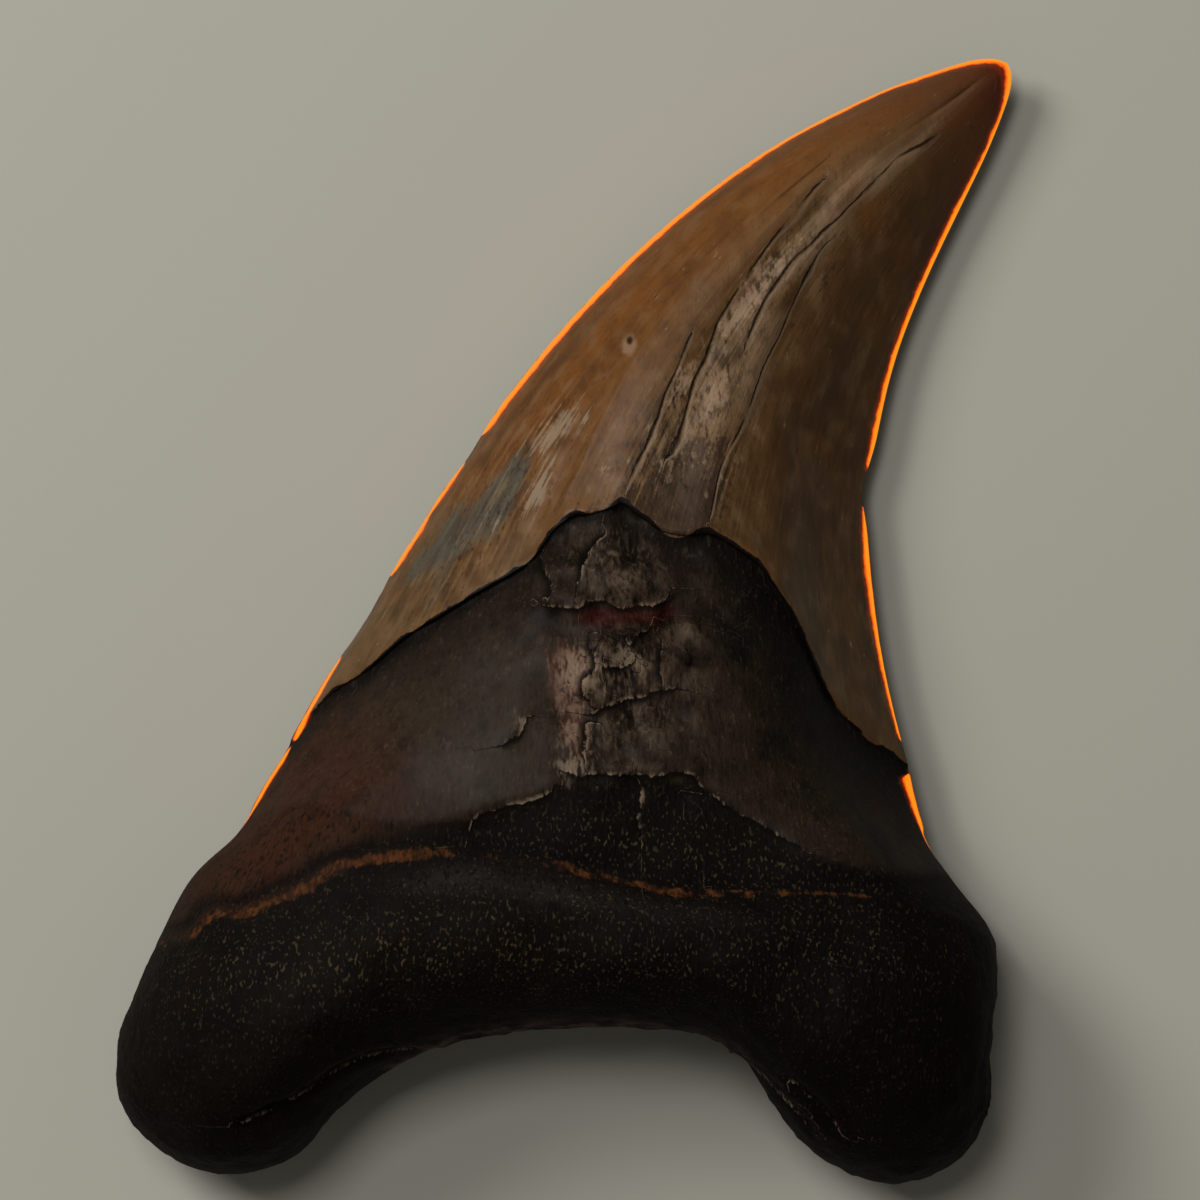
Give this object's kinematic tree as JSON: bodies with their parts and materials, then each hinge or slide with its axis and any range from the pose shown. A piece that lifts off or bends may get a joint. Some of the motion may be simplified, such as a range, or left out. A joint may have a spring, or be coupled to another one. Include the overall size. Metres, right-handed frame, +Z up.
{
  "type": "fossil parotodus benedeni tooth",
  "caption": "Large fossil shark tooth with one broad hooked crown on a thick two-lobed arched root, lying flat on its outer face.",
  "frame": {"origin": "under the middle of the tooth's box, on the table that it lies on", "axes": "+X from the front (mesial) edge to the back (distal) edge, +Y from the root's lobes to the crown's tip, +Z up out of the inner (lingual) face"},
  "size_m": [0.0398, 0.05, 0.0141],
  "materials": {
    "fossil_tooth": "satin olive-brown enamel with fine lengthwise streaks on the crown, near-black matt porous root, thin amber translucent cutting edges"
  },
  "bodies": {
    "root": {"tooth": "fossil_tooth"}
  },
  "joints": []
}
